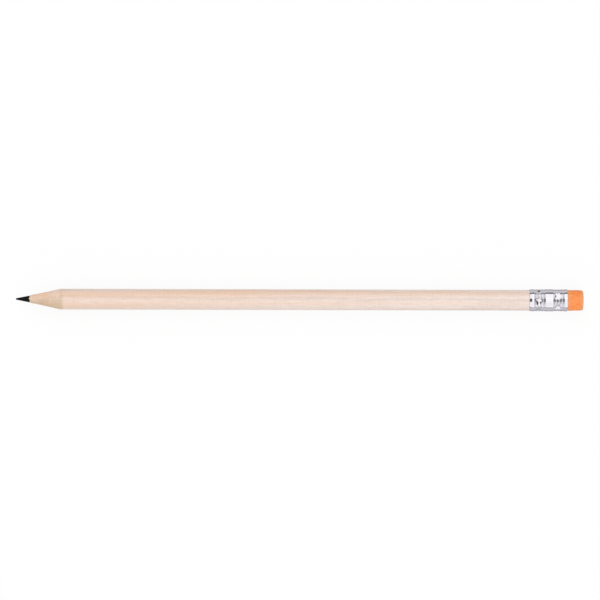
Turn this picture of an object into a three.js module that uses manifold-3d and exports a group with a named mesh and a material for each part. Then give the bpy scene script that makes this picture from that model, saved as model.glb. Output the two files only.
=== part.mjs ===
// A round wooden pencil with a crimped metal ferrule and a plug eraser, sharpened and in bare wood.
// It lies along X with its point towards -X, and the origin is on the table under the middle of its length.
// Millimetres, +Z up. Places along the pencil are measured from the tip of its point.

import * as THREE from "three";
import { mergeVertices } from "three/addons/utils/BufferGeometryUtils.js";
import Module from "manifold-3d";

// The whole pencil
const PENCIL_LENGTH = 190;
const BARREL_DIAMETER = 6.9;

// The lead and the sharpened cone that the lead and the wood share
const LEAD_DIAMETER = 2.15;
const POINT_RADIUS = 0.17;
const SHARPENING_ANGLE = 24; // degrees, the whole angle of the cone

// The casing: two slats, each with half a groove, glued face to face around the lead
const GLUE_THICKNESS = 0.05;
const BOND_CLEARANCE = 0.02; // each side of the glue
const WOOD_LIP = 0.05; // wood left outside the groove at the front of the cone
const SHOULDER_RADIUS = 8.5; // sanded round where the cone meets the barrel
const TENON_STEP = 0.05; // how far the barrel is turned down under the ferrule
const TENON_LENGTH = 6.4; // how far the wood reaches into the ferrule

// The ferrule: a thin tube with two bands of rolled grooves, each with a ring of punched crimps
const FERRULE_LENGTH = 12.7;
const FERRULE_WALL = 0.25;
const FERRULE_CLEARANCE = 0.05; // between the ferrule and what it grips
const RIM_CHAMFER = 0.1;
const GROOVES_PER_BAND = 4;
const GROOVE_PITCH = 1;
const GROOVE_WIDTH = 0.6;
const GROOVE_DEPTH = 0.15;
const WOOD_BAND_SETBACK = 1.95; // from the rim at the wood to the middle of the nearest groove
const ERASER_BAND_SETBACK = 1.4; // from the rim at the eraser to the middle of the nearest groove
const CRIMPS_PER_BAND = 6;
const CRIMP_DIAMETER = 2.2;
const CRIMP_DEPTH = 0.35;
const CRIMP_TURN = 8; // degrees from straight up to the first crimp over the wood
const CRIMP_SHIFT = 0.4; // from the middle of a band towards the point

// The eraser: a plug that stands out of the ferrule
const ERASER_DIAMETER = 6.9;
const ERASER_SHOWN = 5.4; // length outside the ferrule
const ERASER_EDGE_RADIUS = 0.6;
const ERASER_CLEARANCE = 0.1; // between the wood and the eraser's inner end

// Facets
const SIDES = 48;
const LEAD_SIDES = 24;
const ARC_STEPS = 2; // half the number of steps along an arc of an outline
const PUNCH_SIDES = 14;
const PUNCH_RINGS = 12;
const OVERRUN = 1; // how far a cutting solid reaches past what it cuts

// Radii that follow from the sizes
const coneSlope = THREE.MathUtils.degToRad(SHARPENING_ANGLE / 2);
const leadRadius = LEAD_DIAMETER / 2;
const glueInnerRadius = leadRadius + BOND_CLEARANCE;
const glueOuterRadius = glueInnerRadius + GLUE_THICKNESS;
const grooveRadius = glueOuterRadius + BOND_CLEARANCE;
const barrelRadius = BARREL_DIAMETER / 2;
const tenonRadius = barrelRadius - TENON_STEP;
const boreRadius = tenonRadius + FERRULE_CLEARANCE;
const ferruleRadius = boreRadius + FERRULE_WALL;
const eraserRadius = ERASER_DIAMETER / 2;

// Places along the pencil that follow from the sizes
const pointEnd = POINT_RADIUS * (1 - Math.sin(coneSlope));
const woodFront = pointEnd + (leadRadius - POINT_RADIUS * Math.cos(coneSlope)) / Math.tan(coneSlope);
const lipRadius = grooveRadius + WOOD_LIP;
const coneEnd = woodFront + (barrelRadius - lipRadius) / Math.tan(coneSlope);
const ferruleEnd = PENCIL_LENGTH - ERASER_SHOWN;
const ferruleStart = ferruleEnd - FERRULE_LENGTH;
const tenonStart = ferruleStart - FERRULE_CLEARANCE;
const tenonEnd = ferruleStart + TENON_LENGTH;
const eraserStart = tenonEnd + ERASER_CLEARANCE;
const eraserMouth = ferruleEnd + FERRULE_CLEARANCE;

// Solids for cutting and joining

const wasm = await Module();
wasm.setup();

function solidOf(geometry) {
  const bare = geometry.clone();
  bare.deleteAttribute("normal");
  bare.deleteAttribute("uv");
  const merged = mergeVertices(bare);
  return new wasm.Manifold(
    new wasm.Mesh({
      numProp: 3,
      vertProperties: merged.attributes.position.array,
      triVerts: new Uint32Array(merged.index.array),
    }),
  );
}

function geometryOf(solid) {
  const mesh = solid.getMesh();
  const geometry = new THREE.BufferGeometry();
  geometry.setAttribute("position", new THREE.BufferAttribute(mesh.vertProperties, 3));
  geometry.setIndex(new THREE.BufferAttribute(mesh.triVerts, 1));
  geometry.computeVertexNormals();
  return geometry;
}

// A solid turned about the pencil's axis. The outline gives radius and place along the pencil, and starts
// and ends on the axis. A flat of the turned solid, and not an edge, faces down, so that it rests.
function turned(outline, sides) {
  const geometry = new THREE.LatheGeometry(outline.getPoints(ARC_STEPS), sides, Math.PI / sides);
  return solidOf(geometry.rotateZ(-Math.PI / 2));
}

function turnedRod(radius, start, end, sides) {
  const outline = new THREE.Path();
  outline.moveTo(0, start);
  outline.lineTo(radius, start);
  outline.lineTo(radius, end);
  outline.lineTo(0, end);
  return turned(outline, sides);
}

// The rolled grooves and punched crimps that hold the ferrule on

const bandWidth = (GROOVES_PER_BAND - 1) * GROOVE_PITCH;
const woodBand = { start: ferruleStart + WOOD_BAND_SETBACK, turn: CRIMP_TURN };
const eraserBand = {
  start: ferruleEnd - ERASER_BAND_SETBACK - bandWidth,
  turn: CRIMP_TURN + 180 / CRIMPS_PER_BAND, // midway between the crimps of the other band
};

// Carries an outline through the grooves of one band, which dent it by their depth.
function lineThroughBand(outline, radius, band) {
  for (let groove = 0; groove < GROOVES_PER_BAND; groove++) {
    const middle = band.start + groove * GROOVE_PITCH;
    outline.lineTo(radius, middle - GROOVE_WIDTH / 2);
    outline.lineTo(radius - GROOVE_DEPTH, middle);
    outline.lineTo(radius, middle + GROOVE_WIDTH / 2);
  }
}

// Takes the crimps of one band out of a solid that lies the given depth below the ferrule's outside.
// The punch is a ball: deeper layers see it grown by their depth, as a bent sheet keeps its thickness.
function crimped(solid, band, depth) {
  const punchRadius = ((CRIMP_DIAMETER / 2) ** 2 + CRIMP_DEPTH ** 2) / (2 * CRIMP_DEPTH);
  const punchHeight = ferruleRadius - CRIMP_DEPTH + punchRadius;
  let dented = solid;
  for (let crimp = 0; crimp < CRIMPS_PER_BAND; crimp++) {
    const turn = band.turn + (crimp * 360) / CRIMPS_PER_BAND;
    const punch = new THREE.SphereGeometry(punchRadius + depth, PUNCH_SIDES, PUNCH_RINGS);
    punch.translate(band.start + bandWidth / 2 - CRIMP_SHIFT, punchHeight, 0);
    punch.rotateX(Math.PI / 2 + THREE.MathUtils.degToRad(turn));
    dented = dented.subtract(solidOf(punch));
  }
  return dented;
}

// Lead: a fired graphite rod through the whole casing, sharpened at the front

function makeLead() {
  const outline = new THREE.Path();
  outline.moveTo(0, 0);
  outline.absarc(0, POINT_RADIUS, POINT_RADIUS, -Math.PI / 2, -coneSlope, false);
  outline.lineTo(leadRadius, woodFront);
  outline.lineTo(leadRadius, tenonEnd);
  outline.lineTo(0, tenonEnd);
  return turned(outline, LEAD_SIDES);
}

// Casing: the two slats and the glue between them, shaped and sharpened together as one blank

function makeBlank() {
  const tangent = SHOULDER_RADIUS * Math.tan(coneSlope / 2);
  const outline = new THREE.Path();
  outline.moveTo(0, woodFront);
  outline.lineTo(lipRadius, woodFront);
  outline.absarc(barrelRadius - SHOULDER_RADIUS, coneEnd + tangent, SHOULDER_RADIUS, -coneSlope, 0, false);
  outline.lineTo(barrelRadius, tenonStart);
  outline.lineTo(tenonRadius, tenonStart);
  lineThroughBand(outline, tenonRadius, woodBand);
  outline.lineTo(tenonRadius, tenonEnd);
  outline.lineTo(0, tenonEnd);
  return crimped(turned(outline, SIDES), woodBand, FERRULE_WALL + FERRULE_CLEARANCE);
}

// A box that holds the part of the pencil between two heights over its axis.
function layer(bottom, top) {
  const box = new THREE.BoxGeometry(PENCIL_LENGTH + 2 * OVERRUN, BARREL_DIAMETER + 2 * OVERRUN, top - bottom);
  return solidOf(box.translate(PENCIL_LENGTH / 2, 0, (top + bottom) / 2));
}

const faceHeight = GLUE_THICKNESS / 2 + BOND_CLEARANCE;
const beyond = barrelRadius + OVERRUN;

function makeSlat(blank, bottom, top) {
  const groove = turnedRod(grooveRadius, woodFront - OVERRUN, tenonEnd + OVERRUN, LEAD_SIDES);
  return blank.intersect(layer(bottom, top)).subtract(groove);
}

// The glue fills the joint between the slats and the groove around the lead.
function makeGlue(blank) {
  const start = woodFront - OVERRUN;
  const end = tenonEnd + OVERRUN;
  const sleeve = turnedRod(glueOuterRadius, start, end, LEAD_SIDES);
  const leadSeat = turnedRod(glueInnerRadius, start, end, LEAD_SIDES);
  const film = layer(-GLUE_THICKNESS / 2, GLUE_THICKNESS / 2);
  return blank.intersect(film.add(sleeve)).subtract(leadSeat);
}

// Ferrule: the outside less the bore, both rolled and crimped alike

function makeFerrule() {
  const outside = new THREE.Path();
  outside.moveTo(0, ferruleStart);
  outside.lineTo(ferruleRadius - RIM_CHAMFER, ferruleStart);
  outside.lineTo(ferruleRadius, ferruleStart + RIM_CHAMFER);
  lineThroughBand(outside, ferruleRadius, woodBand);
  lineThroughBand(outside, ferruleRadius, eraserBand);
  outside.lineTo(ferruleRadius, ferruleEnd - RIM_CHAMFER);
  outside.lineTo(ferruleRadius - RIM_CHAMFER, ferruleEnd);
  outside.lineTo(0, ferruleEnd);

  const bore = new THREE.Path();
  bore.moveTo(0, ferruleStart - OVERRUN);
  bore.lineTo(boreRadius, ferruleStart - OVERRUN);
  lineThroughBand(bore, boreRadius, woodBand);
  lineThroughBand(bore, boreRadius, eraserBand);
  bore.lineTo(boreRadius, ferruleEnd + OVERRUN);
  bore.lineTo(0, ferruleEnd + OVERRUN);

  const punched = (outline, depth) =>
    crimped(crimped(turned(outline, SIDES), woodBand, depth), eraserBand, depth);
  return punched(outside, 0).subtract(punched(bore, FERRULE_WALL));
}

// Eraser: a plug squeezed by the ferrule, full size and round-edged outside it

function makeEraser() {
  const plugRadius = boreRadius - FERRULE_CLEARANCE;
  const outline = new THREE.Path();
  outline.moveTo(0, eraserStart);
  outline.lineTo(plugRadius, eraserStart);
  lineThroughBand(outline, plugRadius, eraserBand);
  outline.lineTo(plugRadius, eraserMouth);
  outline.lineTo(eraserRadius, eraserMouth);
  outline.absarc(
    eraserRadius - ERASER_EDGE_RADIUS,
    PENCIL_LENGTH - ERASER_EDGE_RADIUS,
    ERASER_EDGE_RADIUS,
    0,
    Math.PI / 2,
    false,
  );
  outline.lineTo(0, PENCIL_LENGTH);
  return crimped(turned(outline, SIDES), eraserBand, FERRULE_WALL + FERRULE_CLEARANCE);
}

// The assembly

const graphite = new THREE.MeshStandardMaterial({ color: "#2b302f", roughness: 0.45, metalness: 0.3 });
const limeWood = new THREE.MeshStandardMaterial({ color: "#eed7c8", roughness: 0.6, metalness: 0 });
const woodGlue = new THREE.MeshStandardMaterial({ color: "#d9bf9a", roughness: 0.5, metalness: 0 });
const aluminium = new THREE.MeshStandardMaterial({ color: "#e4e2e8", roughness: 0.25, metalness: 1 });
const orangeRubber = new THREE.MeshStandardMaterial({ color: "#fa9a5a", roughness: 0.7, metalness: 0 });

const pencil = new THREE.Group();
const axisHeight = ferruleRadius * Math.cos(Math.PI / SIDES);
pencil.position.set(-PENCIL_LENGTH / 2, 0, axisHeight);

function addPiece(name, solid, material) {
  const mesh = new THREE.Mesh(geometryOf(solid), material);
  mesh.name = name;
  pencil.add(mesh);
}

const blank = makeBlank();
addPiece("graphite_lead", makeLead(), graphite);
addPiece("upper_slat", makeSlat(blank, faceHeight, beyond), limeWood);
addPiece("lower_slat", makeSlat(blank, -beyond, -faceHeight), limeWood);
addPiece("glue_line", makeGlue(blank), woodGlue);
addPiece("ferrule", makeFerrule(), aluminium);
addPiece("eraser", makeEraser(), orangeRubber);

export default pencil;
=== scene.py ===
import math

import bmesh
import bpy
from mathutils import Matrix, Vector, noise


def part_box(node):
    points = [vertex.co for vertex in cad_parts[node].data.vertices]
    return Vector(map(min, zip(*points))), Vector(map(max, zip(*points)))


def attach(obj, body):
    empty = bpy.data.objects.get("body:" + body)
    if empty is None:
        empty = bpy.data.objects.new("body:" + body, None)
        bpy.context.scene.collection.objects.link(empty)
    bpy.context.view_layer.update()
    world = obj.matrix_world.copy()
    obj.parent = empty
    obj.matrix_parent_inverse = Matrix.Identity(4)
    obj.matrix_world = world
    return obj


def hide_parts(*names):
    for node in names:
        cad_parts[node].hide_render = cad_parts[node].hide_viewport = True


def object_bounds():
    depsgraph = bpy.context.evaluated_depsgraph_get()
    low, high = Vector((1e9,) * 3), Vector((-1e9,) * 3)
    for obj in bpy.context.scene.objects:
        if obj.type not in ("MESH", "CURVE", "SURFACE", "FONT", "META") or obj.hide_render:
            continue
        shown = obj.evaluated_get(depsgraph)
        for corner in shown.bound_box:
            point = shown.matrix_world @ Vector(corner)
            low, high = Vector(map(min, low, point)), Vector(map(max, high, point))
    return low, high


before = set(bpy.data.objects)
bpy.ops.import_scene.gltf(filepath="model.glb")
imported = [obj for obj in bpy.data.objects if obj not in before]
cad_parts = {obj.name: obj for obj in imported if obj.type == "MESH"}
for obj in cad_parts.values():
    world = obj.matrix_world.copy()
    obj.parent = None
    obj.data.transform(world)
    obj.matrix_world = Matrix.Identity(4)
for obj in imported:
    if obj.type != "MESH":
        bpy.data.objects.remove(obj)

cad_low, cad_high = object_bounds()


# The camera: a long lens straight above the pencil, which lies along X with its point towards -X. The two
# ends of the pencil stand in the frame of 600 pixels where the photo shows them.
PHOTO_SIDE = 600
POINT_PIXEL = (15.85, 298.95)
ERASER_PIXEL = (583.1, 300.42)
LENS_MM = 180
SENSOR_MM = 36
POINT_X = cad_low.x
PENCIL_LENGTH = cad_high.x - cad_low.x
AXIS_Z = (cad_low.z + cad_high.z) / 2

pixel_run = ERASER_PIXEL[0] - POINT_PIXEL[0]
pixel_drop = ERASER_PIXEL[1] - POINT_PIXEL[1]
metres_per_pixel = PENCIL_LENGTH / math.hypot(pixel_run, pixel_drop)
middle_right = PHOTO_SIDE / 2 - (POINT_PIXEL[0] + ERASER_PIXEL[0]) / 2
middle_down = PHOTO_SIDE / 2 - (POINT_PIXEL[1] + ERASER_PIXEL[1]) / 2
camera_height = AXIS_Z + PHOTO_SIDE * metres_per_pixel * LENS_MM / SENSOR_MM

camera = bpy.data.objects.new("camera", bpy.data.cameras.new("camera"))
camera.data.lens = LENS_MM
camera.data.sensor_width = SENSOR_MM
camera.location = (middle_right * metres_per_pixel, -middle_down * metres_per_pixel, camera_height)
camera.rotation_euler = (0, 0, math.atan2(pixel_drop, pixel_run))
bpy.context.collection.objects.link(camera)
bpy.context.scene.camera = camera
bpy.context.scene.view_settings.view_transform = "Standard"


# The studio: a sheet of white card under softboxes. One hangs overhead, two long ones lean in over the
# pencil's sides, and two low ones stand past its ends. Bright metal then shows broad whites and small
# darks. A softbox leans from overhead to a side, turned from +Y, both in degrees, and brightness 1 is white.
SOFTBOXES = {
    "top": dict(turn=0, lean=1, distance=1.5, shift=0.05, length=0.82, depth=1.0, brightness=1.48),
    "far_side": dict(turn=0, lean=45, distance=1.2, shift=0, length=2.1, depth=1.22, brightness=1.48),
    "near_side": dict(turn=180, lean=50, distance=1.2, shift=0, length=2.1, depth=1.56, brightness=1.38),
    "point_end": dict(turn=90, lean=80.5, distance=1.6, shift=0, length=3.2, depth=0.52, brightness=0.6),
    "eraser_end": dict(turn=-90, lean=80.5, distance=1.6, shift=0, length=3.2, depth=0.52, brightness=0.6),
}
ROOM_GREY = 0.14
CARD_WHITE = "#fafafa"
CARD_GREY = "#bcbcbc"
CARD_LIFT = 0.9
CARD_HALF = 4.0

for name, box in SOFTBOXES.items():
    softbox = bpy.data.objects.new("softbox_" + name, bpy.data.lights.new("softbox_" + name, "AREA"))
    softbox.data.shape = "RECTANGLE"
    softbox.data.size = box["length"]
    softbox.data.size_y = box["depth"]
    softbox.data.energy = box["brightness"] * math.pi * box["length"] * box["depth"]
    turn = math.radians(box["turn"])
    lean = math.radians(box["lean"])
    out = box["distance"] * math.sin(lean)
    height = box["distance"] * math.cos(lean)
    softbox.location = (box["shift"] - out * math.sin(turn), out * math.cos(turn), height)
    softbox.rotation_euler = (-lean, 0, turn)
    softbox.visible_camera = False
    bpy.context.collection.objects.link(softbox)

room = bpy.data.worlds.new("room")
room.use_nodes = True
room.node_tree.nodes["Background"].inputs["Color"].default_value = (ROOM_GREY, ROOM_GREY, ROOM_GREY, 1)
bpy.context.scene.world = room


def linear(code):
    """An sRGB hex colour as the linear colour that shaders take."""
    parts = [int(code[i : i + 2], 16) / 255 for i in (1, 3, 5)]
    return (*(c / 12.92 if c < 0.04045 else ((c + 0.055) / 1.055) ** 2.4 for c in parts), 1)


def add_node(tree, kind, inputs=None, **settings):
    """A shader node with its settings, each input given a value or linked to another node's output. Inputs
    go by name, or by number where names repeat: a Mix node takes its colours in 6 and 7 and gives out 2."""
    made = tree.nodes.new("ShaderNode" + kind)
    for name, value in settings.items():
        setattr(made, name, value)
    for name, value in (inputs or {}).items():
        if isinstance(value, bpy.types.NodeSocket):
            tree.links.new(value, made.inputs[name])
        else:
            made.inputs[name].default_value = value
    return made


def new_material(name):
    """A material with an empty node tree, and that tree."""
    material = bpy.data.materials.new(name)
    material.use_nodes = True
    material.node_tree.nodes.clear()
    return material, material.node_tree


def matt_white_card():
    """Matt card: an even white that holds a soft shadow. Where it is looked at, straight or in the metal, it
    is lifted to full white, and as a reflector of light it is a pale grey."""
    material, tree = new_material("matt_white_card")
    path = add_node(tree, "LightPath").outputs
    seen = add_node(tree, "Math", {0: path["Is Camera Ray"], 1: path["Is Glossy Ray"]}, operation="ADD")
    seen = add_node(tree, "Math", {0: seen.outputs[0], 1: path["Is Transmission Ray"]}, operation="ADD")
    lift = add_node(tree, "Math", {0: seen.outputs[0], 1: CARD_LIFT}, operation="MULTIPLY", use_clamp=True)
    shade = add_node(
        tree,
        "Mix",
        {0: seen.outputs[0], 6: linear(CARD_GREY), 7: linear(CARD_WHITE)},
        data_type="RGBA",
    )
    card = add_node(tree, "BsdfDiffuse", {"Color": shade.outputs[2]})
    glow = add_node(tree, "Emission", {"Strength": 1.0})
    mix = add_node(tree, "MixShader", {0: lift.outputs[0], 1: card.outputs[0], 2: glow.outputs[0]})
    add_node(tree, "OutputMaterial", {"Surface": mix.outputs[0]})
    return material


card_mesh = bpy.data.meshes.new("white_card")
card_corners = [(sx * CARD_HALF, sy * CARD_HALF, 0) for sx, sy in ((-1, -1), (1, -1), (1, 1), (-1, 1))]
card_mesh.from_pydata(card_corners, [], [(0, 1, 2, 3)])
card_mesh.materials.append(matt_white_card())
white_card = bpy.data.objects.new("white_card", card_mesh)
bpy.context.collection.objects.link(white_card)


# The lead: a rod of graphite and clay, extruded, fired and soaked in wax, glued down the whole casing. Its
# front was ground to a point together with the wood, which leaves fine rings round the cone.
MM = 0.001
LEAD_RADIUS = 1.075 * MM
POINT_RADIUS = 0.29 * MM
LEAD_SLOPE = math.radians(11.2)
LEAD_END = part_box("graphite_lead")[1].x - POINT_X
LEAD_SIDES = 96
TIP_START = 0.006 * MM
TIP_STEP = 0.02 * MM
GROUND_STEP = 0.05 * MM
ROD_STEP = 10 * MM
GRINDING_DEPTH = 0.01 * MM
GRINDING_PITCH = 0.16 * MM
SCRATCH_SIZE = 3 * GRINDING_PITCH
SHARP_EDGE = math.radians(40)
GRINDING_MM = (0.12, 1.2, 1.2)
GRAPHITE_GRAIN_MM = (0.05, 0.05, 0.05)
GRAPHITE_BLACK = "#030504"
GRAPHITE_GREY = "#171e1b"

point_end = POINT_RADIUS * (1 - math.sin(LEAD_SLOPE))
lead_shoulder = point_end + (LEAD_RADIUS - POINT_RADIUS * math.cos(LEAD_SLOPE)) / math.tan(LEAD_SLOPE)


def steps(start, end, size):
    """Evenly spaced places from start to end, no further apart than size."""
    count = max(1, math.ceil((end - start) / size))
    return [start + (end - start) * i / count for i in range(count + 1)]


def turns(count):
    """Angles once round the pencil's axis, from +Y upwards."""
    return [2 * math.pi * i / count for i in range(count)]


def spot(along, radius, angle):
    """The point that far along from the pencil's tip and that far from its axis, at that angle round it."""
    return Vector((POINT_X + along, radius * math.cos(angle), AXIS_Z + radius * math.sin(angle)))


def ripple(along, radius, angle, size):
    """Smooth unevenness from -1 to 1 over a round surface, with bumps of about that size."""
    return noise.noise(Vector((along, radius * math.cos(angle), radius * math.sin(angle))) / size)


def loft(name, rings, ends, material, node):
    """A closed piece through rings of points. Ends are capped to a middle point (fan) or across the ring
    (strip), or the last ring joins the first (loop). It stands for that CAD node, which it hides."""
    shape = bmesh.new()
    rows = [[shape.verts.new(point) for point in ring] for ring in rings]
    count = len(rows[0])
    pairs = list(zip(rows, rows[1:]))
    if ends == "loop":
        pairs.append((rows[-1], rows[0]))
    for one, two in pairs:
        for i in range(count):
            j = (i + 1) % count
            shape.faces.new((one[i], one[j], two[j], two[i]))
    if ends != "loop":
        for row in (rows[0], rows[-1]):
            if ends == "fan":
                middle = shape.verts.new(sum((v.co for v in row), Vector()) / count)
                for i in range(count):
                    shape.faces.new((row[i], row[(i + 1) % count], middle))
            else:
                for i in range(count // 2 - 1):
                    shape.faces.new((row[i], row[i + 1], row[count - 2 - i], row[count - 1 - i]))
    bmesh.ops.recalc_face_normals(shape, faces=shape.faces)
    mesh = bpy.data.meshes.new(name)
    shape.to_mesh(mesh)
    shape.free()
    mesh.shade_smooth()
    mesh.set_sharp_from_angle(angle=SHARP_EDGE)
    mesh.materials.append(material)
    piece = bpy.data.objects.new(name, mesh)
    bpy.context.collection.objects.link(piece)
    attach(piece, "root")
    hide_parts(node)


def in_grains(tree, grain_mm, shift=(0, 0, 0)):
    """Places on the pencil, counted in grains of that length, width and height in millimetres."""
    place = add_node(tree, "TexCoord").outputs["Object"]
    scale = tuple(1 / (size * MM) for size in grain_mm)
    return add_node(tree, "Mapping", {"Vector": place, "Scale": scale, "Location": shift}).outputs[0]


def ground_graphite():
    """Fired graphite, ground to a point: near black, with a soft grey lustre and fine rings from grinding.
    The grains are drawn ten times coarser than real ones, so that they show."""
    material, tree = new_material("ground_graphite")
    rings = in_grains(tree, GRINDING_MM)
    rings = add_node(tree, "TexNoise", {"Vector": rings, "Scale": 1.0, "Detail": 3.0}).outputs[0]
    grains = in_grains(tree, GRAPHITE_GRAIN_MM)
    grains = add_node(tree, "TexNoise", {"Vector": grains, "Scale": 1.0, "Detail": 2.0}).outputs[0]
    mottle = add_node(tree, "Math", {0: rings, 1: grains}, operation="MULTIPLY").outputs[0]
    mottle = add_node(tree, "MapRange", {"Value": mottle, "From Min": 0.12, "From Max": 0.42}).outputs[0]
    shade = add_node(
        tree,
        "Mix",
        {0: mottle, 6: linear(GRAPHITE_BLACK), 7: linear(GRAPHITE_GREY)},
        data_type="RGBA",
    )
    rough = add_node(
        tree,
        "MapRange",
        {"Value": rings, "From Min": 0.3, "From Max": 0.7, "To Min": 0.45, "To Max": 0.65},
    )
    bump = add_node(tree, "Bump", {"Strength": 0.5, "Distance": GRINDING_DEPTH, "Height": rings})
    shader = add_node(
        tree,
        "BsdfPrincipled",
        {
            "Base Color": shade.outputs[2],
            "Metallic": 0.05,
            "Roughness": rough.outputs[0],
            "IOR": 1.5,
            "Specular IOR Level": 0.1,
            "Normal": bump.outputs[0],
        },
    )
    add_node(tree, "OutputMaterial", {"Surface": shader.outputs[0]})
    return material


def lead_radius(along, angle):
    """The lead's radius: a rounded tip, then the ground cone with its grinding rings, then the plain rod."""
    if along < point_end:
        return math.sqrt(max(0, POINT_RADIUS**2 - (POINT_RADIUS - along) ** 2))
    if along >= lead_shoulder:
        return LEAD_RADIUS
    cone = POINT_RADIUS * math.cos(LEAD_SLOPE) + (along - point_end) * math.tan(LEAD_SLOPE)
    groove = GRINDING_DEPTH * ripple(along, 0, 0, GRINDING_PITCH)
    return min(LEAD_RADIUS, cone + groove + GRINDING_DEPTH * ripple(along, cone, angle, SCRATCH_SIZE))


lead_places = steps(TIP_START, point_end, TIP_STEP)
lead_places += steps(point_end, lead_shoulder, GROUND_STEP)[1:]
lead_places += steps(lead_shoulder, LEAD_END, ROD_STEP)[1:]
lead_rings = [[spot(x, lead_radius(x, a), a) for a in turns(LEAD_SIDES)] for x in lead_places]
loft("pencil_lead", lead_rings, "fan", ground_graphite(), "graphite_lead")


# The ferrule's form, which the wood and the eraser share where it grips them. Two bands of rolled beads run
# round the tube, and a ring of round punch marks is pressed through each band, staggered band to band.
FERRULE_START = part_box("ferrule")[0].x - POINT_X
FERRULE_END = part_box("ferrule")[1].x - POINT_X
FERRULE_RADIUS = 3.675 * MM
FERRULE_WALL = 0.25 * MM
FERRULE_CLEARANCE = 0.05 * MM
GRIP_DEPTH = FERRULE_WALL + FERRULE_CLEARANCE
BEAD_PITCH = 1.0 * MM
BEAD_GROOVES = 4
BEAD_DEPTH = 0.15 * MM
BEAD_SHARPNESS = 1.6
WOOD_BAND_INSET = 1.95 * MM
ERASER_BAND_INSET = 1.4 * MM
WOOD_BAND = FERRULE_START + WOOD_BAND_INSET
ERASER_BAND = FERRULE_END - ERASER_BAND_INSET - (BEAD_GROOVES - 1) * BEAD_PITCH
WOOD_RIM_RUN = 0.85 * MM
WOOD_RIM_DROP = 0.2 * MM
DEEPEST_DENT = 0.4 * MM
PUNCHES = 6
PUNCH_RADIUS = 1.35 * MM
PUNCH_DEPTH = 0.4 * MM
PUNCH_SHARPNESS = 1.5
PUNCH_SHIFT = 0.4 * MM
PUNCH_TURN = {WOOD_BAND: math.radians(98), ERASER_BAND: math.radians(128)}


def bead_groove(along, band):
    """How deep the rolled grooves of a band are at that place."""
    wave = (along - band) / BEAD_PITCH
    if wave < -0.5 or wave > BEAD_GROOVES - 0.5:
        return 0
    return BEAD_DEPTH * (0.5 + 0.5 * math.cos(2 * math.pi * wave)) ** BEAD_SHARPNESS


def punch_mark(along, angle, band):
    """How deep the punch marks of a band are at that place: round dishes, from a tool with a ball nose."""
    pitch = 2 * math.pi / PUNCHES
    off = (angle - PUNCH_TURN[band] + pitch / 2) % pitch - pitch / 2
    middle = band + (BEAD_GROOVES - 1) * BEAD_PITCH / 2 - PUNCH_SHIFT
    reach = math.hypot(along - middle, off * FERRULE_RADIUS) / PUNCH_RADIUS
    return PUNCH_DEPTH * max(0, 1 - reach**2) ** PUNCH_SHARPNESS


def gripped_radius(along, angle, depth):
    """The radius of a layer that lies that depth below the ferrule's outside, with its beads and marks."""
    dent = max(0, 1 - (along - FERRULE_START) / WOOD_RIM_RUN) * WOOD_RIM_DROP
    for band in (WOOD_BAND, ERASER_BAND):
        dent += max(punch_mark(along, angle, band), bead_groove(along, band))
    return FERRULE_RADIUS - depth - min(dent, DEEPEST_DENT)


# The casing: two slats of pale lime wood, each with half a groove for the lead. They were glued face to
# face, shaped into a round rod, sanded and sealed, and sharpened, which bares a tanner wood on the cone.
WOOD_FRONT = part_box("upper_slat")[0].x - POINT_X
WOOD_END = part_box("upper_slat")[1].x - POINT_X
BARREL_RADIUS = 3.45 * MM
CONE_SLOPE = math.radians(12)
CONE_HOLLOW = 0.085 * MM
SHOULDER_RADIUS = 8.5 * MM
GROOVE_RADIUS = 1.165 * MM
LEAD_BED = 0.02 * MM
BED_RUN = 0.35 * MM
SEAM_HALF = 0.03 * MM
TENON_START = FERRULE_START - FERRULE_CLEARANCE
STEP_DOWN_RUN = 0.001 * MM
LIP_RADIUS = 1.215 * MM
LIP_WEAR = 0.08 * MM
LIP_WEAR_RUN = 1.3 * MM
LIP_BACK = 0.31 * MM
RAGGED_LIP = 0.14 * MM
RAGGED_REACH = 1.8 * MM
CHIP_SIZE = 0.8 * MM
CHIP_SEED = 0.3 * MM
SPLINTER_SIZE = 0.2 * MM
SPLINTER_SHARE = 0.4
TONGUE_REACH = 0.32 * MM
TONGUE_ANGLE = math.radians(82)
TONGUE_SPREAD = 0.18
SANDED_WAVE = 0.012 * MM
SANDED_SIZE = 2 * MM
SANDED_STRETCH = 6
CUTTER_RIDGE = 0.01 * MM
CUTTER_PITCH = 0.7 * MM
CUTTER_SWEEP = 0.2
SLAT_POINTS = 73
CONE_STEP = 0.09 * MM
SHOULDER_STEP = 0.15 * MM
BARREL_STEP = 2.5 * MM
TENON_STEP = 0.1 * MM
# For each slat: the side it lies on, the pith of its tree across it in millimetres, and its grain's shift.
SLATS = {"upper": (1, (-33.02, 44.97), (0, 0, 0)), "lower": (-1, (38, -40), (17, 5, 9))}
MILLIMETRES = (1, 1, 1)
POINT_MM = POINT_X / MM
RING_MM = 2.6
SWAY_MM = 2.2
SWAY_GRAIN_MM = (35, 4, 4)
GRAIN_SLOPE = 0.0054
BEND_MM = 0.9
BEND_RUN_MM = 70
STREAK_MM = (45, 0.9, 0.9)
FIBRE_MM = (3.5, 0.24, 0.24)
PORE_MM = (1.5, 0.2, 0.2)
PORES_LEFT_OUT = 0.55
PORE_DARKNESS = 0.45
PORE_HEIGHT = -0.6
EARLY_WOOD = "#f9e9e1"
LATE_WOOD = "#dbc7bb"
WARM_STREAK = "#f2c9a8"
PORE_BROWN = "#b98f6c"
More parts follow.
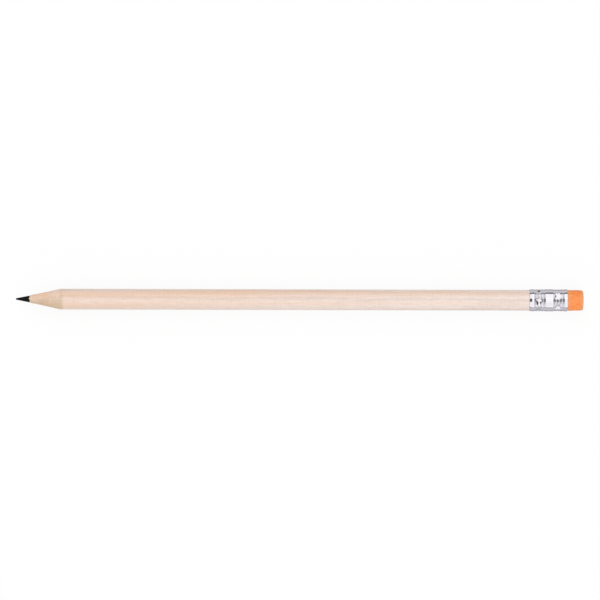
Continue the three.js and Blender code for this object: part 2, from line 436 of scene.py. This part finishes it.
# How dark the wood is through a year, and how warm it is across the barrel: at both ends, then at places
# between them, counted from 0 to 1. The warmth is the wood's tone, but the pale, neutral band it leaves
# down the middle of the barrel is a painted sheen.
YEAR_ENDS = 0.1
YEAR_SHADES = ((0.55, 0.2), (0.86, 1.0))
TONE_ENDS = 0
# The low warmth at 0.45 and 0.55 makes the painted sheen down the middle of the barrel.
TONE_AND_SHEEN_BANDS = (
    (0.1, 0.06),
    (0.22, 0.15),
    (0.34, 0.3),
    (0.45, 0.1),
    (0.55, 0.05),
    (0.66, 0.3),
    (0.78, 0.58),
    (0.88, 0.4),
)
LATE_BASE = -0.45
LATE_BY_YEAR = 0.48
LATE_BY_FIBRE = 1.35
LATE_BY_DRIFT = 0.5
LATE_BY_CUT = -0.16
DRIFT_AT_POINT = 0.26
DRIFT_AT_ERASER = -0.22
CUT_LIGHT = "#fffffe"
CUT_DARK = "#e8e4d5"
CUT_DARK_MM = -0.6
CUT_LIGHT_MM = 1.3
CUT_LENGTH_MM = 16.05
CUT_END_MM = POINT_MM + CUT_LENGTH_MM
CUT_WAVE_MM = 1.6
CUT_FADE_MM = 1.3
CUT_ROUGHER = 0.12
BURNISHED_MM = 1.0
BURNISHED = 0.5

cone_end = WOOD_FRONT + (BARREL_RADIUS - LIP_RADIUS) / math.tan(CONE_SLOPE)
shoulder_run = SHOULDER_RADIUS * math.tan(CONE_SLOPE / 2)
shoulder_start = cone_end - shoulder_run * math.cos(CONE_SLOPE)
shoulder_end = cone_end + shoulder_run


def casing_radius(along, angle):
    """The casing's radius: the sharpened cone, left slightly hollow by a slanted blade, the round shoulder,
    the sanded barrel, then the gripped tenon."""
    if along >= TENON_START:
        return gripped_radius(along, angle, GRIP_DEPTH)
    radius = BARREL_RADIUS
    if along < shoulder_start:
        radius = LIP_RADIUS + (along - WOOD_FRONT) * math.tan(CONE_SLOPE)
        share = max(0, (along - WOOD_FRONT) / (shoulder_start - WOOD_FRONT))
        radius -= CONE_HOLLOW * 4 * share * (1 - share)
        radius -= LIP_WEAR * max(0, 1 - (along - WOOD_FRONT) / LIP_WEAR_RUN) ** 2
        radius += CUTTER_RIDGE * ripple(along, CUTTER_SWEEP * radius, angle, CUTTER_PITCH)
    elif along < shoulder_end:
        radius -= SHOULDER_RADIUS - math.sqrt(SHOULDER_RADIUS**2 - (shoulder_end - along) ** 2)
    return radius + SANDED_WAVE * ripple(along / SANDED_STRETCH, radius, angle, SANDED_SIZE)


def lip_shift(angle):
    """How far the wood's front edge stands back from its place: ragged, with a tongue on top of the lead."""
    tongue = math.exp(-(((angle - TONGUE_ANGLE) / TONGUE_SPREAD) ** 2))
    chips = ripple(CHIP_SEED, LIP_RADIUS, angle, CHIP_SIZE)
    splinters = ripple(0, LIP_RADIUS, angle, SPLINTER_SIZE)
    return LIP_BACK + RAGGED_LIP * (chips + SPLINTER_SHARE * splinters) - TONGUE_REACH * tongue


def slat_ring(along, side):
    """One section of a slat: its round back from edge to edge, then its groove back again."""
    fade = max(0, 1 - (along - WOOD_FRONT) / RAGGED_REACH)
    back = []
    groove = []
    for i in range(SLAT_POINTS):
        share = i / (SLAT_POINTS - 1)
        middle = math.pi * share if side > 0 else math.pi * (1 + share)
        place = along + fade * lip_shift(middle)
        bed = lead_radius(place, middle) + LEAD_BED if place < WOOD_FRONT + BED_RUN else GROOVE_RADIUS
        for reach, points in ((casing_radius(place, middle), back), (bed, groove)):
            edge = math.asin(SEAM_HALF / reach)
            angle = edge + (math.pi - 2 * edge) * share
            if side < 0:
                angle += math.pi
            points.append(spot(place, reach, angle))
    return back + groove[::-1]


def grade(ramp, ends, levels):
    """Sets the grey of a ramp at both of its ends, and at the places between them."""
    for mark in ramp.elements:
        mark.color = (ends, ends, ends, 1)
    for position, level in levels:
        ramp.elements.new(position).color = (level, level, level, 1)


def year_rings(tree, axes, sway, pith_mm):
    """How dark the wood is in its year: rings round the tree's pith, which sway and slope along the slat."""
    across = add_node(tree, "CombineXYZ", {"Y": axes[1], "Z": axes[2]}).outputs[0]
    ring = add_node(tree, "VectorMath", {0: across, 1: (0, *pith_mm)}, operation="DISTANCE").outputs["Value"]
    ring = add_node(tree, "Math", {0: sway, 1: SWAY_MM, 2: ring}, operation="MULTIPLY_ADD").outputs[0]
    ring = add_node(tree, "Math", {0: axes[0], 1: GRAIN_SLOPE, 2: ring}, operation="MULTIPLY_ADD").outputs[0]
    ring = add_node(tree, "Math", {0: ring, 1: RING_MM}, operation="DIVIDE").outputs[0]
    ring = add_node(tree, "Math", {0: ring}, operation="FRACT").outputs[0]
    year = add_node(tree, "ValToRGB", {0: ring})
    grade(year.color_ramp, YEAR_ENDS, YEAR_SHADES)
    return year.outputs[0]


def wood_pores(tree, shift):
    """Short pores along the grain. Over half of them are left out, so that the others lie scattered."""
    pore = add_node(tree, "TexVoronoi", {"Vector": in_grains(tree, PORE_MM, shift), "Scale": 1.0}).outputs
    fleck = add_node(
        tree,
        "MapRange",
        {"Value": pore["Distance"], "From Min": 0.12, "From Max": 0.3, "To Min": 1.0, "To Max": 0.0},
    ).outputs[0]
    lot = add_node(tree, "SeparateXYZ", {0: pore["Color"]}).outputs[0]
    kept = add_node(tree, "Math", {0: lot, 1: PORES_LEFT_OUT}, operation="GREATER_THAN").outputs[0]
    return add_node(tree, "Math", {0: fleck, 1: kept}, operation="MULTIPLY").outputs[0]


def warm_bands_and_sheen(tree, axes, sway, streak, drift):
    """How warm the wood's tone is: bands across the barrel, patchy along the streaks, which sway with the
    grain and bend aside near the point. Down the middle of the barrel the bands leave a pale, neutral
    stripe, which is a painted sheen."""
    bend = add_node(
        tree,
        "MapRange",
        {
            "Value": axes[0],
            "From Min": POINT_MM,
            "From Max": POINT_MM + BEND_RUN_MM,
            "To Min": BEND_MM,
            "To Max": 0.0,
        },
    ).outputs[0]
    place = add_node(tree, "Math", {0: sway, 1: SWAY_MM, 2: axes[1]}, operation="MULTIPLY_ADD").outputs[0]
    place = add_node(tree, "Math", {0: place, 1: bend}, operation="ADD").outputs[0]
    low_edge = SWAY_MM / 2 - BARREL_RADIUS / MM
    high_edge = SWAY_MM / 2 + BARREL_RADIUS / MM
    place = add_node(tree, "MapRange", {"Value": place, "From Min": low_edge, "From Max": high_edge})
    band = add_node(tree, "ValToRGB", {0: place.outputs[0]})
    band.color_ramp.interpolation = "EASE"
    grade(band.color_ramp, TONE_ENDS, TONE_AND_SHEEN_BANDS)
    patches = add_node(
        tree,
        "MapRange",
        {"Value": streak, "From Min": 0.3, "From Max": 0.7, "To Min": 0.5, "To Max": 1.4},
    ).outputs[0]
    warm = {0: patches, 1: band.outputs[0], 2: drift}
    return add_node(tree, "Math", warm, operation="MULTIPLY_ADD", use_clamp=True).outputs[0]


def cut_tint(tree, axes, edge):
    """The tint of the cut cone: lighter on its far side, and burnished darker along its border."""
    light = add_node(tree, "MapRange", {"Value": axes[1], "From Min": CUT_DARK_MM, "From Max": CUT_LIGHT_MM})
    rubbed = add_node(
        tree,
        "MapRange",
        {
            "Value": edge,
            "From Min": CUT_END_MM - BURNISHED_MM,
            "From Max": CUT_END_MM,
            "To Min": 1.0,
            "To Max": 1 - BURNISHED,
        },
    )
    light = {0: light.outputs[0], 1: rubbed.outputs[0]}
    light = add_node(tree, "Math", light, operation="MULTIPLY").outputs[0]
    tint = {0: light, 6: linear(CUT_DARK), 7: linear(CUT_LIGHT)}
    return add_node(tree, "Mix", tint, data_type="RGBA").outputs[2]


def lime_wood(name, pith_mm, shift):
    """Lime wood, sawn and sanded: a creamy, even wood with faint year rings, fine fibres and short pores.
    The barrel is sealed and pale, and the sharpened cone shows the cut wood, tanner and a little rougher.
    Fibres and pores are drawn several times coarser than real ones, so that they show."""
    material, tree = new_material(name)
    axes = add_node(tree, "SeparateXYZ", {0: in_grains(tree, MILLIMETRES)}).outputs
    sway = in_grains(tree, SWAY_GRAIN_MM, shift)
    sway = add_node(tree, "TexNoise", {"Vector": sway, "Scale": 1.0, "Detail": 2.0}).outputs[0]
    streak = in_grains(tree, STREAK_MM, shift)
    streak = add_node(tree, "TexNoise", {"Vector": streak, "Scale": 1.0, "Detail": 3.0}).outputs[0]
    fibre = in_grains(tree, FIBRE_MM, shift)
    fibre = add_node(tree, "TexNoise", {"Vector": fibre, "Scale": 1.0, "Detail": 3.0}).outputs[0]
    pores = wood_pores(tree, shift)

    # The sharpened cone is bare up to a wavy border.
    edge = {0: streak, 1: CUT_WAVE_MM, 2: axes[0]}
    edge = add_node(tree, "Math", edge, operation="MULTIPLY_ADD").outputs[0]
    bare = add_node(
        tree,
        "MapRange",
        {
            "Value": edge,
            "From Min": CUT_END_MM,
            "From Max": CUT_END_MM + CUT_FADE_MM,
            "To Min": 1.0,
            "To Max": 0.0,
        },
        interpolation_type="SMOOTHSTEP",
    ).outputs[0]

    # Late wood is the darker part of each year. It and the warm tone grow less from the point to the eraser.
    drift = add_node(
        tree,
        "MapRange",
        {
            "Value": axes[0],
            "From Min": POINT_MM,
            "From Max": POINT_MM + PENCIL_LENGTH / MM,
            "To Min": DRIFT_AT_POINT,
            "To Max": DRIFT_AT_ERASER,
        },
    ).outputs[0]
    late = LATE_BASE
    for cause, weight in (
        (year_rings(tree, axes, sway, pith_mm), LATE_BY_YEAR),
        (fibre, LATE_BY_FIBRE),
        (drift, LATE_BY_DRIFT),
        (bare, LATE_BY_CUT),
    ):
        late = add_node(tree, "Math", {0: cause, 1: weight, 2: late}, operation="MULTIPLY_ADD").outputs[0]
    late = add_node(tree, "Clamp", {"Value": late}).outputs[0]

    dark = add_node(tree, "Math", {0: pores, 1: PORE_DARKNESS}, operation="MULTIPLY").outputs[0]
    colour = linear(EARLY_WOOD)
    for share, tint, blend in (
        (late, linear(LATE_WOOD), "MIX"),
        # Warm bands of wood tone, left pale down the middle of the barrel as a painted sheen.
        (warm_bands_and_sheen(tree, axes, sway, streak, drift), linear(WARM_STREAK), "MIX"),
        (bare, cut_tint(tree, axes, edge), "MULTIPLY"),
        (dark, linear(PORE_BROWN), "MIX"),
    ):
        layer = {0: share, 6: colour, 7: tint}
        colour = add_node(tree, "Mix", layer, data_type="RGBA", blend_type=blend).outputs[2]

    rough = add_node(
        tree,
        "MapRange",
        {"Value": fibre, "From Min": 0.3, "From Max": 0.7, "To Min": 0.52, "To Max": 0.68},
    ).outputs[0]
    rough = add_node(tree, "Math", {0: bare, 1: CUT_ROUGHER, 2: rough}, operation="MULTIPLY_ADD")
    height = add_node(tree, "Math", {0: pores, 1: PORE_HEIGHT, 2: fibre}, operation="MULTIPLY_ADD")
    bump = add_node(tree, "Bump", {"Strength": 0.35, "Distance": 0.03 * MM, "Height": height.outputs[0]})
    shader = add_node(
        tree,
        "BsdfPrincipled",
        {
            "Base Color": colour,
            "Roughness": rough.outputs[0],
            "IOR": 1.5,
            "Specular IOR Level": 0.2,
            "Normal": bump.outputs[0],
        },
    )
    add_node(tree, "OutputMaterial", {"Surface": shader.outputs[0]})
    return material


slat_places = steps(WOOD_FRONT, shoulder_start, CONE_STEP)
slat_places += steps(shoulder_start, shoulder_end, SHOULDER_STEP)[1:]
slat_places += steps(shoulder_end, TENON_START - STEP_DOWN_RUN, BARREL_STEP)[1:]
slat_places += steps(TENON_START, WOOD_END, TENON_STEP)
for name, (side, pith_mm, shift) in SLATS.items():
    slat_rings = [slat_ring(x, side) for x in slat_places]
    wood = lime_wood("sanded_lime_wood_" + name, pith_mm, shift)
    loft(name + "_casing_slat", slat_rings, "strip", wood, name + "_slat")


# The glue: cured white wood glue, a film between the slats and a thin sleeve round the lead. It only shows
# as a hairline along both sides of the casing, where the shaping cut it flush with the wood.
GLUE_HALF = 0.025 * MM
SLEEVE_INNER = 1.095 * MM
SLEEVE_OUTER = 1.145 * MM
GLUE_SUNK = 0.012 * MM
GLUE_SETBACK = 0.6 * MM
GLUE_FRONT = WOOD_FRONT + GLUE_SETBACK
GLUE_FIRST_STEP = 0.05 * MM
SLEEVE_POINTS = 24
GLUE_DUST_MM = (1.6, 0.25, 0.25)
GLUE_CLEAR = "#e2c8a6"
GLUE_DUSTY = "#c19f78"


def glue_section(along):
    """Radius and angle round one section of the glue: each side's film out to its edge, and the sleeve
    between them, over and under the lead."""
    section = []
    for half in (0, math.pi):
        film = casing_radius(along, half) - GLUE_SUNK
        lift = math.asin(GLUE_HALF / film)
        section += [(film, half - lift), (film, half + lift)]
        start = math.asin(GLUE_HALF / SLEEVE_OUTER)
        for i in range(SLEEVE_POINTS):
            angle = half + start + (math.pi - 2 * start) * i / (SLEEVE_POINTS - 1)
            section.append((SLEEVE_OUTER, angle))
    return section


def cured_wood_glue():
    """White wood glue, cured: a clear, slightly yellow film, darker in places where dust stuck to it."""
    material, tree = new_material("cured_wood_glue")
    dust = in_grains(tree, GLUE_DUST_MM)
    dust = add_node(tree, "TexNoise", {"Vector": dust, "Scale": 1.0, "Detail": 3.0}).outputs[0]
    shade = add_node(tree, "Mix", {0: dust, 6: linear(GLUE_CLEAR), 7: linear(GLUE_DUSTY)}, data_type="RGBA")
    bump = add_node(tree, "Bump", {"Strength": 0.3, "Distance": 0.02 * MM, "Height": dust})
    shader = add_node(
        tree,
        "BsdfPrincipled",
        {"Base Color": shade.outputs[2], "Roughness": 0.42, "IOR": 1.47, "Normal": bump.outputs[0]},
    )
    add_node(tree, "OutputMaterial", {"Surface": shader.outputs[0]})
    return material


glue_places = [GLUE_FRONT] + [x for x in slat_places if x > GLUE_FRONT + GLUE_FIRST_STEP]
glue_rings = [[spot(x, radius, a) for radius, a in glue_section(x)] for x in glue_places]
glue_rings += [[spot(x, SLEEVE_INNER, a) for _, a in glue_section(x)] for x in reversed(glue_places)]
loft("casing_glue", glue_rings, "loop", cured_wood_glue(), "glue_line")


# The ferrule: a thin drawn tube of bright aluminium, pushed over the wood and the eraser. Its beads were
# then rolled in and its punch marks pressed in, which locks all three together without glue.
RIM_ROUND = 0.06 * MM
RIM_SHARES = (0, 0.1, 0.3, 0.6)
FERRULE_SIDES = 288
FERRULE_STEP = 0.06 * MM
BORE_STEP = 0.2 * MM
DRAW_LINE_MM = (2.5, 0.07, 0.07)
SMUDGE_MM = (1.3, 1.3, 1.3)
BRIGHT_METAL = "#d2cfd5"
DULL_METAL = "#bebbc2"
EDGE_METAL = "#b0adb4"


def ferrule_radius(along, angle):
    """The ferrule's outside, with its rolled beads and punch marks, and both of its rims rounded off."""
    inset = min(along - FERRULE_START, FERRULE_END - along)
    share = max(0, 1 - inset / RIM_ROUND)
    return gripped_radius(along, angle, RIM_ROUND * (1 - math.sqrt(1 - share**2)))


def drawn_aluminium():
    """Bright drawn aluminium: a clean mirror, softened by fine draw lines, handling marks and a thin oxide.
    The draw lines are drawn several times coarser than real ones, so that they show."""
    material, tree = new_material("drawn_aluminium")
    lines = in_grains(tree, DRAW_LINE_MM)
    lines = add_node(tree, "TexNoise", {"Vector": lines, "Scale": 1.0, "Detail": 3.0}).outputs[0]
    smudge = in_grains(tree, SMUDGE_MM)
    smudge = add_node(tree, "TexNoise", {"Vector": smudge, "Scale": 1.0, "Detail": 4.0}).outputs[0]
    shade = add_node(
        tree,
        "Mix",
        {0: smudge, 6: linear(BRIGHT_METAL), 7: linear(DULL_METAL)},
        data_type="RGBA",
    )
    dull = add_node(tree, "Math", {0: lines, 1: smudge}, operation="MULTIPLY").outputs[0]
    rough = add_node(
        tree,
        "MapRange",
        {"Value": dull, "From Min": 0.1, "From Max": 0.4, "To Min": 0.07, "To Max": 0.17},
    )
    bump = add_node(tree, "Bump", {"Strength": 0.25, "Distance": 0.004 * MM, "Height": lines})
    shader = add_node(
        tree,
        "BsdfPrincipled",
        {
            "Base Color": shade.outputs[2],
            "Metallic": 1.0,
            "Roughness": rough.outputs[0],
            "Specular Tint": linear(EDGE_METAL),
            "Normal": bump.outputs[0],
        },
    )
    add_node(tree, "OutputMaterial", {"Surface": shader.outputs[0]})
    return material


ferrule_turns = turns(FERRULE_SIDES)
outer_places = [FERRULE_START + RIM_ROUND * share for share in RIM_SHARES]
outer_places += steps(FERRULE_START + RIM_ROUND, FERRULE_END - RIM_ROUND, FERRULE_STEP)
outer_places += [FERRULE_END - RIM_ROUND * share for share in reversed(RIM_SHARES)]
bore_places = steps(FERRULE_START, FERRULE_END, BORE_STEP)[::-1]
ferrule_rings = [[spot(x, ferrule_radius(x, a), a) for a in ferrule_turns] for x in outer_places]
for x in bore_places:
    ferrule_rings.append([spot(x, gripped_radius(x, a, FERRULE_WALL), a) for a in ferrule_turns])
loft("crimped_ferrule", ferrule_rings, "loop", drawn_aluminium(), "ferrule")


# The eraser: a plug of orange rubber, extruded as a rod, cut to length and tumbled, which rounds its edge
# and leaves it matt. Half of it sits in the ferrule, which squeezes it, so it swells a little at the mouth.
ERASER_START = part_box("eraser")[0].x - POINT_X
ERASER_END = PENCIL_LENGTH
ERASER_RADIUS = 3.45 * MM
ERASER_TAPER = 0.06 * MM
ERASER_EDGE = 0.4 * MM
ERASER_EDGE_RUN = 0.8 * MM
ERASER_CROWN = 0.12 * MM
MOUTH_GAP = 0.03 * MM
MOUTH = FERRULE_END + MOUTH_GAP
SWELL = 0.03 * MM
SWELL_RUN = 1.1 * MM
TUMBLED_WAVE = 0.014 * MM
TUMBLED_SIZE = 1.8 * MM
ERASER_SIDES = 144
PLUG_STEP = 0.1 * MM
RUBBER_STEP = 0.12 * MM
EDGE_STEP = math.radians(9)
CROWN_SHARES = (0.85, 0.65, 0.4, 0.15)
CLOUD_MM = (1.6, 1.2, 1.2)
GRIT_MM = (0.12, 0.12, 0.12)
PIT_MM = (0.32, 0.32, 0.32)
PIT_HEIGHT = -0.8
RUBBER_LIGHT = "#ffa656"
RUBBER_DEEP = "#fd7d37"
RUBBER_DUST = "#ffc193"
RUBBER_WORN = "#e0ac86"
WORN_END_MM = 1.25
WORN_RING_MM = (2.0, 3.1)
RUBBED_MOUTH_MM = 1.4


def eraser_radius(along, angle):
    """The eraser's radius outside the ferrule: swollen at the mouth, a little thinner at its end, uneven."""
    swell = SWELL * math.exp(-(((along - MOUTH) / SWELL_RUN) ** 2))
    taper = ERASER_TAPER * (along - MOUTH) / (ERASER_END - MOUTH)
    return ERASER_RADIUS + swell - taper + TUMBLED_WAVE * ripple(along, ERASER_RADIUS, angle, TUMBLED_SIZE)


def rubber_wear(tree, grit):
    """Where the rubber is worn: in patches, on its end, most of all round the edge, and by the ferrule."""
    axes = add_node(tree, "SeparateXYZ", {0: in_grains(tree, MILLIMETRES)}).outputs
    across = add_node(tree, "CombineXYZ", {"Y": axes[1], "Z": axes[2]}).outputs[0]
    axis = (0, 0, AXIS_Z / MM)
    reach = add_node(tree, "VectorMath", {0: across, 1: axis}, operation="DISTANCE").outputs["Value"]
    ring = add_node(
        tree,
        "MapRange",
        {
            "Value": reach,
            "From Min": WORN_RING_MM[0],
            "From Max": WORN_RING_MM[1],
            "To Min": 0.15,
            "To Max": 1.0,
        },
    )
    end_mm = POINT_MM + ERASER_END / MM
    end = {"Value": axes[0], "From Min": end_mm - WORN_END_MM, "From Max": end_mm}
    end = add_node(tree, "MapRange", end)
    end = add_node(tree, "Math", {0: end.outputs[0], 1: ring.outputs[0]}, operation="MULTIPLY")
    mouth_mm = POINT_MM + MOUTH / MM
    mouth = add_node(
        tree,
        "MapRange",
        {
            "Value": axes[0],
            "From Min": mouth_mm,
            "From Max": mouth_mm + RUBBED_MOUTH_MM,
            "To Min": 0.6,
            "To Max": 0.0,
        },
    )
    worn = add_node(tree, "Math", {0: end.outputs[0], 1: mouth.outputs[0]}, operation="ADD").outputs[0]
    patches = add_node(
        tree,
        "MapRange",
        {"Value": grit, "From Min": 0.3, "From Max": 0.7, "To Min": 0.7, "To Max": 1.1},
    ).outputs[0]
    return add_node(tree, "Math", {0: worn, 1: patches}, operation="MULTIPLY", use_clamp=True).outputs[0]


def orange_rubber():
    """Soft eraser rubber, tumbled: a dense, slightly cloudy orange with a matt, dusty and pitted skin, paler
    where its end is worn and where the ferrule rubbed it."""
    material, tree = new_material("tumbled_orange_rubber")
    cloud = in_grains(tree, CLOUD_MM)
    cloud = add_node(tree, "TexNoise", {"Vector": cloud, "Scale": 1.0, "Detail": 4.0}).outputs[0]
    cloud = add_node(tree, "MapRange", {"Value": cloud, "From Min": 0.3, "From Max": 0.7}).outputs[0]
    grit = in_grains(tree, GRIT_MM)
    grit = add_node(tree, "TexNoise", {"Vector": grit, "Scale": 1.0, "Detail": 3.0}).outputs[0]
    dust = add_node(
        tree,
        "MapRange",
        {"Value": grit, "From Min": 0.5, "From Max": 0.75, "To Min": 0.0, "To Max": 0.3},
    ).outputs[0]
    pit = add_node(tree, "TexVoronoi", {"Vector": in_grains(tree, PIT_MM), "Scale": 1.0}).outputs["Distance"]
    pit = add_node(
        tree,
        "MapRange",
        {"Value": pit, "From Min": 0.08, "From Max": 0.2, "To Min": 1.0, "To Max": 0.0},
    ).outputs[0]

    colour = linear(RUBBER_LIGHT)
    for share, tint in (
        (cloud, RUBBER_DEEP),
        (dust, RUBBER_DUST),
        (rubber_wear(tree, grit), RUBBER_WORN),
    ):
        layer = {0: share, 6: colour, 7: linear(tint)}
        colour = add_node(tree, "Mix", layer, data_type="RGBA").outputs[2]

    rough = add_node(
        tree,
        "MapRange",
        {"Value": grit, "From Min": 0.3, "From Max": 0.7, "To Min": 0.6, "To Max": 0.8},
    )
    height = add_node(tree, "Math", {0: pit, 1: PIT_HEIGHT, 2: grit}, operation="MULTIPLY_ADD")
    bump = add_node(tree, "Bump", {"Strength": 0.4, "Distance": 0.03 * MM, "Height": height.outputs[0]})
    shader = add_node(
        tree,
        "BsdfPrincipled",
        {
            "Base Color": colour,
            "Roughness": rough.outputs[0],
            "IOR": 1.52,
            "Normal": bump.outputs[0],
        },
    )
    add_node(tree, "OutputMaterial", {"Surface": shader.outputs[0]})
    return material


eraser_turns = turns(ERASER_SIDES)
eraser_rings = []
for x in steps(ERASER_START, FERRULE_END, PLUG_STEP):
    eraser_rings.append([spot(x, gripped_radius(x, a, GRIP_DEPTH), a) for a in eraser_turns])
edge_start = ERASER_END - ERASER_CROWN - ERASER_EDGE_RUN
for x in steps(MOUTH, edge_start, RUBBER_STEP):
    eraser_rings.append([spot(x, eraser_radius(x, a), a) for a in eraser_turns])
for bend in steps(0, math.pi / 2, EDGE_STEP)[1:]:
    x = edge_start + ERASER_EDGE_RUN * math.sin(bend)
    inset = ERASER_EDGE * (1 - math.cos(bend))
    eraser_rings.append([spot(x, eraser_radius(x, a) - inset, a) for a in eraser_turns])
flat_radius = ERASER_RADIUS - ERASER_TAPER - ERASER_EDGE
for share in CROWN_SHARES:
    x = ERASER_END - ERASER_CROWN * share**2
    eraser_rings.append([spot(x, flat_radius * share, a) for a in eraser_turns])
loft("plug_eraser", eraser_rings, "fan", orange_rubber(), "eraser")
